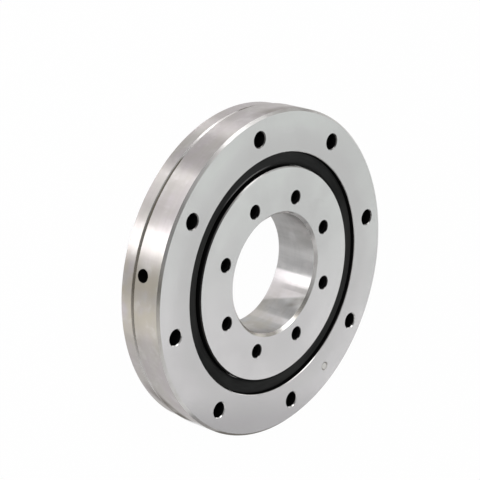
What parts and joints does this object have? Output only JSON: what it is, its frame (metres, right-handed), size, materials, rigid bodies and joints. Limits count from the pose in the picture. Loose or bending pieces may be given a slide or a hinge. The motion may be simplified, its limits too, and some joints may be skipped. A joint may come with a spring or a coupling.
{
  "type": "crossed roller bearing",
  "caption": "Flat crossed roller bearing: ground steel inner and outer rings with bolt holes on two circles, crossed cylindrical rollers in V races, black rubber seals.",
  "frame": {"origin": "centre of the back face, where the bearing's axis meets the plane it rests on", "axes": "+Z along the bearing's axis from the back face with the sunk bolt heads to the front face; -Y through the oil hole in the rim"},
  "size_m": [0.095, 0.095, 0.015],
  "materials": {
    "outer_ring_steel": "fine ground",
    "inner_ring_steel": "fine ground",
    "pin_steel": "bright cut end",
    "roller_steel": "polished",
    "seal_rubber": "satin black",
    "spacer_resin": "moulded resin"
  },
  "bodies": {
    "outer_ring": {"outer_ring": "outer_ring_steel", "front_seal": "seal_rubber", "back_seal": "seal_rubber", "loading_plug": "outer_ring_steel", "plug_pin": "pin_steel"},
    "inner_ring": {"inner_ring": "inner_ring_steel"},
    "spacers": {"spacers": "spacer_resin"},
    "roller_01": {"roller_01": "roller_steel"},
    "roller_02": {"roller_02": "roller_steel"},
    "roller_03": {"roller_03": "roller_steel"},
    "roller_04": {"roller_04": "roller_steel"},
    "roller_05": {"roller_05": "roller_steel"},
    "roller_06": {"roller_06": "roller_steel"},
    "roller_07": {"roller_07": "roller_steel"},
    "roller_08": {"roller_08": "roller_steel"},
    "roller_09": {"roller_09": "roller_steel"},
    "roller_10": {"roller_10": "roller_steel"},
    "roller_11": {"roller_11": "roller_steel"},
    "roller_12": {"roller_12": "roller_steel"},
    "roller_13": {"roller_13": "roller_steel"},
    "roller_14": {"roller_14": "roller_steel"},
    "roller_15": {"roller_15": "roller_steel"},
    "roller_16": {"roller_16": "roller_steel"},
    "roller_17": {"roller_17": "roller_steel"},
    "roller_18": {"roller_18": "roller_steel"},
    "roller_19": {"roller_19": "roller_steel"},
    "roller_20": {"roller_20": "roller_steel"},
    "roller_21": {"roller_21": "roller_steel"},
    "roller_22": {"roller_22": "roller_steel"},
    "roller_23": {"roller_23": "roller_steel"},
    "roller_24": {"roller_24": "roller_steel"},
    "roller_25": {"roller_25": "roller_steel"},
    "roller_26": {"roller_26": "roller_steel"},
    "roller_27": {"roller_27": "roller_steel"},
    "roller_28": {"roller_28": "roller_steel"},
    "roller_29": {"roller_29": "roller_steel"},
    "roller_30": {"roller_30": "roller_steel"}
  },
  "joints": [
    {"name": "inner_ring_turn", "type": "hinge", "parent": "outer_ring", "child": "inner_ring", "pos_m": [0, 0, 0.0085], "axis": [0, 0, 1], "continuous": true},
    {"name": "roller_set_orbit", "type": "hinge", "parent": "outer_ring", "child": "spacers", "pos_m": [0, 0, 0.0085], "axis": [0, 0, 1], "continuous": true},
    {"name": "roller_01_roll", "type": "hinge", "parent": "spacers", "child": "roller_01", "pos_m": [0.033, 0, 0.0085], "axis": [0.7071, 0, 0.7071], "continuous": true},
    {"name": "roller_02_roll", "type": "hinge", "parent": "spacers", "child": "roller_02", "pos_m": [0.03228, 0.00686, 0.0085], "axis": [-0.6917, -0.147, 0.7071], "continuous": true},
    {"name": "roller_03_roll", "type": "hinge", "parent": "spacers", "child": "roller_03", "pos_m": [0.03015, 0.01342, 0.0085], "axis": [0.646, 0.2876, 0.7071], "continuous": true},
    {"name": "roller_04_roll", "type": "hinge", "parent": "spacers", "child": "roller_04", "pos_m": [0.0267, 0.0194, 0.0085], "axis": [-0.5721, -0.4156, 0.7071], "continuous": true},
    {"name": "roller_05_roll", "type": "hinge", "parent": "spacers", "child": "roller_05", "pos_m": [0.02208, 0.02452, 0.0085], "axis": [0.4731, 0.5255, 0.7071], "continuous": true},
    {"name": "roller_06_roll", "type": "hinge", "parent": "spacers", "child": "roller_06", "pos_m": [0.0165, 0.02858, 0.0085], "axis": [-0.3536, -0.6124, 0.7071], "continuous": true},
    {"name": "roller_07_roll", "type": "hinge", "parent": "spacers", "child": "roller_07", "pos_m": [0.0102, 0.03138, 0.0085], "axis": [0.2185, 0.6725, 0.7071], "continuous": true},
    {"name": "roller_08_roll", "type": "hinge", "parent": "spacers", "child": "roller_08", "pos_m": [0.00345, 0.03282, 0.0085], "axis": [-0.0739, -0.7032, 0.7071], "continuous": true},
    {"name": "roller_09_roll", "type": "hinge", "parent": "spacers", "child": "roller_09", "pos_m": [-0.00345, 0.03282, 0.0085], "axis": [-0.0739, 0.7032, 0.7071], "continuous": true},
    {"name": "roller_10_roll", "type": "hinge", "parent": "spacers", "child": "roller_10", "pos_m": [-0.0102, 0.03138, 0.0085], "axis": [0.2185, -0.6725, 0.7071], "continuous": true},
    {"name": "roller_11_roll", "type": "hinge", "parent": "spacers", "child": "roller_11", "pos_m": [-0.0165, 0.02858, 0.0085], "axis": [-0.3536, 0.6124, 0.7071], "continuous": true},
    {"name": "roller_12_roll", "type": "hinge", "parent": "spacers", "child": "roller_12", "pos_m": [-0.02208, 0.02452, 0.0085], "axis": [0.4731, -0.5255, 0.7071], "continuous": true},
    {"name": "roller_13_roll", "type": "hinge", "parent": "spacers", "child": "roller_13", "pos_m": [-0.0267, 0.0194, 0.0085], "axis": [-0.5721, 0.4156, 0.7071], "continuous": true},
    {"name": "roller_14_roll", "type": "hinge", "parent": "spacers", "child": "roller_14", "pos_m": [-0.03015, 0.01342, 0.0085], "axis": [0.646, -0.2876, 0.7071], "continuous": true},
    {"name": "roller_15_roll", "type": "hinge", "parent": "spacers", "child": "roller_15", "pos_m": [-0.03228, 0.00686, 0.0085], "axis": [-0.6917, 0.147, 0.7071], "continuous": true},
    {"name": "roller_16_roll", "type": "hinge", "parent": "spacers", "child": "roller_16", "pos_m": [-0.033, 0, 0.0085], "axis": [0.7071, 0, 0.7071], "continuous": true},
    {"name": "roller_17_roll", "type": "hinge", "parent": "spacers", "child": "roller_17", "pos_m": [-0.03228, -0.00686, 0.0085], "axis": [-0.6917, -0.147, 0.7071], "continuous": true},
    {"name": "roller_18_roll", "type": "hinge", "parent": "spacers", "child": "roller_18", "pos_m": [-0.03015, -0.01342, 0.0085], "axis": [0.646, 0.2876, 0.7071], "continuous": true},
    {"name": "roller_19_roll", "type": "hinge", "parent": "spacers", "child": "roller_19", "pos_m": [-0.0267, -0.0194, 0.0085], "axis": [-0.5721, -0.4156, 0.7071], "continuous": true},
    {"name": "roller_20_roll", "type": "hinge", "parent": "spacers", "child": "roller_20", "pos_m": [-0.02208, -0.02452, 0.0085], "axis": [0.4731, 0.5255, 0.7071], "continuous": true},
    {"name": "roller_21_roll", "type": "hinge", "parent": "spacers", "child": "roller_21", "pos_m": [-0.0165, -0.02858, 0.0085], "axis": [-0.3536, -0.6124, 0.7071], "continuous": true},
    {"name": "roller_22_roll", "type": "hinge", "parent": "spacers", "child": "roller_22", "pos_m": [-0.0102, -0.03138, 0.0085], "axis": [0.2185, 0.6725, 0.7071], "continuous": true},
    {"name": "roller_23_roll", "type": "hinge", "parent": "spacers", "child": "roller_23", "pos_m": [-0.00345, -0.03282, 0.0085], "axis": [-0.0739, -0.7032, 0.7071], "continuous": true},
    {"name": "roller_24_roll", "type": "hinge", "parent": "spacers", "child": "roller_24", "pos_m": [0.00345, -0.03282, 0.0085], "axis": [-0.0739, 0.7032, 0.7071], "continuous": true},
    {"name": "roller_25_roll", "type": "hinge", "parent": "spacers", "child": "roller_25", "pos_m": [0.0102, -0.03138, 0.0085], "axis": [0.2185, -0.6725, 0.7071], "continuous": true},
    {"name": "roller_26_roll", "type": "hinge", "parent": "spacers", "child": "roller_26", "pos_m": [0.0165, -0.02858, 0.0085], "axis": [-0.3536, 0.6124, 0.7071], "continuous": true},
    {"name": "roller_27_roll", "type": "hinge", "parent": "spacers", "child": "roller_27", "pos_m": [0.02208, -0.02452, 0.0085], "axis": [0.4731, -0.5255, 0.7071], "continuous": true},
    {"name": "roller_28_roll", "type": "hinge", "parent": "spacers", "child": "roller_28", "pos_m": [0.0267, -0.0194, 0.0085], "axis": [-0.5721, 0.4156, 0.7071], "continuous": true},
    {"name": "roller_29_roll", "type": "hinge", "parent": "spacers", "child": "roller_29", "pos_m": [0.03015, -0.01342, 0.0085], "axis": [0.646, -0.2876, 0.7071], "continuous": true},
    {"name": "roller_30_roll", "type": "hinge", "parent": "spacers", "child": "roller_30", "pos_m": [0.03228, -0.00686, 0.0085], "axis": [-0.6917, 0.147, 0.7071], "continuous": true}
  ],
  "couplings": [
    {"joint": "roller_set_orbit", "follows": "inner_ring_turn", "ratio": 0.47054},
    {"joint": "roller_01_roll", "follows": "inner_ring_turn", "ratio": -5.9792},
    {"joint": "roller_02_roll", "follows": "inner_ring_turn", "ratio": -5.9792},
    {"joint": "roller_03_roll", "follows": "inner_ring_turn", "ratio": -5.9792},
    {"joint": "roller_04_roll", "follows": "inner_ring_turn", "ratio": -5.9792},
    {"joint": "roller_05_roll", "follows": "inner_ring_turn", "ratio": -5.9792},
    {"joint": "roller_06_roll", "follows": "inner_ring_turn", "ratio": -5.9792},
    {"joint": "roller_07_roll", "follows": "inner_ring_turn", "ratio": -5.9792},
    {"joint": "roller_08_roll", "follows": "inner_ring_turn", "ratio": -5.9792},
    {"joint": "roller_09_roll", "follows": "inner_ring_turn", "ratio": -5.9792},
    {"joint": "roller_10_roll", "follows": "inner_ring_turn", "ratio": -5.9792},
    {"joint": "roller_11_roll", "follows": "inner_ring_turn", "ratio": -5.9792},
    {"joint": "roller_12_roll", "follows": "inner_ring_turn", "ratio": -5.9792},
    {"joint": "roller_13_roll", "follows": "inner_ring_turn", "ratio": -5.9792},
    {"joint": "roller_14_roll", "follows": "inner_ring_turn", "ratio": -5.9792},
    {"joint": "roller_15_roll", "follows": "inner_ring_turn", "ratio": -5.9792},
    {"joint": "roller_16_roll", "follows": "inner_ring_turn", "ratio": -5.9792},
    {"joint": "roller_17_roll", "follows": "inner_ring_turn", "ratio": -5.9792},
    {"joint": "roller_18_roll", "follows": "inner_ring_turn", "ratio": -5.9792},
    {"joint": "roller_19_roll", "follows": "inner_ring_turn", "ratio": -5.9792},
    {"joint": "roller_20_roll", "follows": "inner_ring_turn", "ratio": -5.9792},
    {"joint": "roller_21_roll", "follows": "inner_ring_turn", "ratio": -5.9792},
    {"joint": "roller_22_roll", "follows": "inner_ring_turn", "ratio": -5.9792},
    {"joint": "roller_23_roll", "follows": "inner_ring_turn", "ratio": -5.9792},
    {"joint": "roller_24_roll", "follows": "inner_ring_turn", "ratio": -5.9792},
    {"joint": "roller_25_roll", "follows": "inner_ring_turn", "ratio": -5.9792},
    {"joint": "roller_26_roll", "follows": "inner_ring_turn", "ratio": -5.9792},
    {"joint": "roller_27_roll", "follows": "inner_ring_turn", "ratio": -5.9792},
    {"joint": "roller_28_roll", "follows": "inner_ring_turn", "ratio": -5.9792},
    {"joint": "roller_29_roll", "follows": "inner_ring_turn", "ratio": -5.9792},
    {"joint": "roller_30_roll", "follows": "inner_ring_turn", "ratio": -5.9792}
  ]
}
